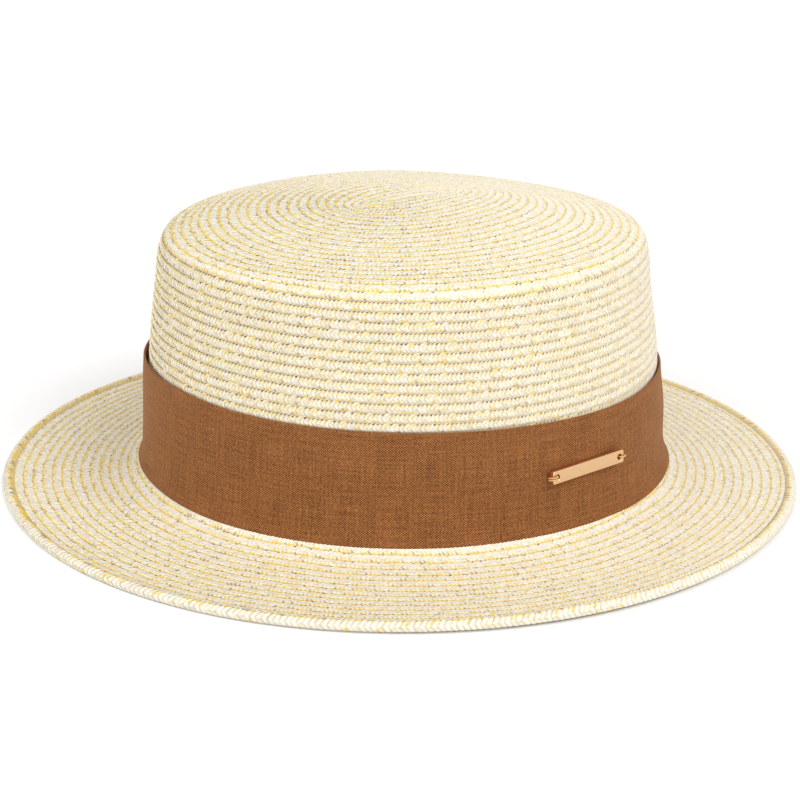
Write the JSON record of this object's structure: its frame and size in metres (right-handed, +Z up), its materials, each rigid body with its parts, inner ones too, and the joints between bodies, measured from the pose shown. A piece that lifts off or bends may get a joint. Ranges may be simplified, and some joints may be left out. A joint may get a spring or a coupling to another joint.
{
  "type": "straw hat",
  "caption": "Flat-top straw hat with an oval crown, a level brim, a brown cloth band and a small metal bar on the band; it is worn on the head.",
  "frame": {"origin": "middle of the plane that the brim rests on", "axes": "+Z up through the crown, X along the oval's long axis, Y along its short axis; the metal bar is on the side of +X and -Y"},
  "size_m": [0.3024, 0.2744, 0.1068],
  "materials": {
    "straw": "flat herringbone paper braid, cream with golden and brown flecks, sewn in overlapping rows, dull",
    "band_cloth": "brown plain-weave cloth with slubs, matte",
    "plate_metal": "rose-gold plated, satin face with bright edges",
    "thread": "golden-brown sewing thread"
  },
  "bodies": {
    "root": {"crown": "straw", "brim": "straw", "edge_braid": "straw", "hat_band": "band_cloth", "name_plate": "plate_metal", "stitch_left_upper": "thread", "stitch_left_lower": "thread", "stitch_right": "thread"}
  },
  "joints": []
}
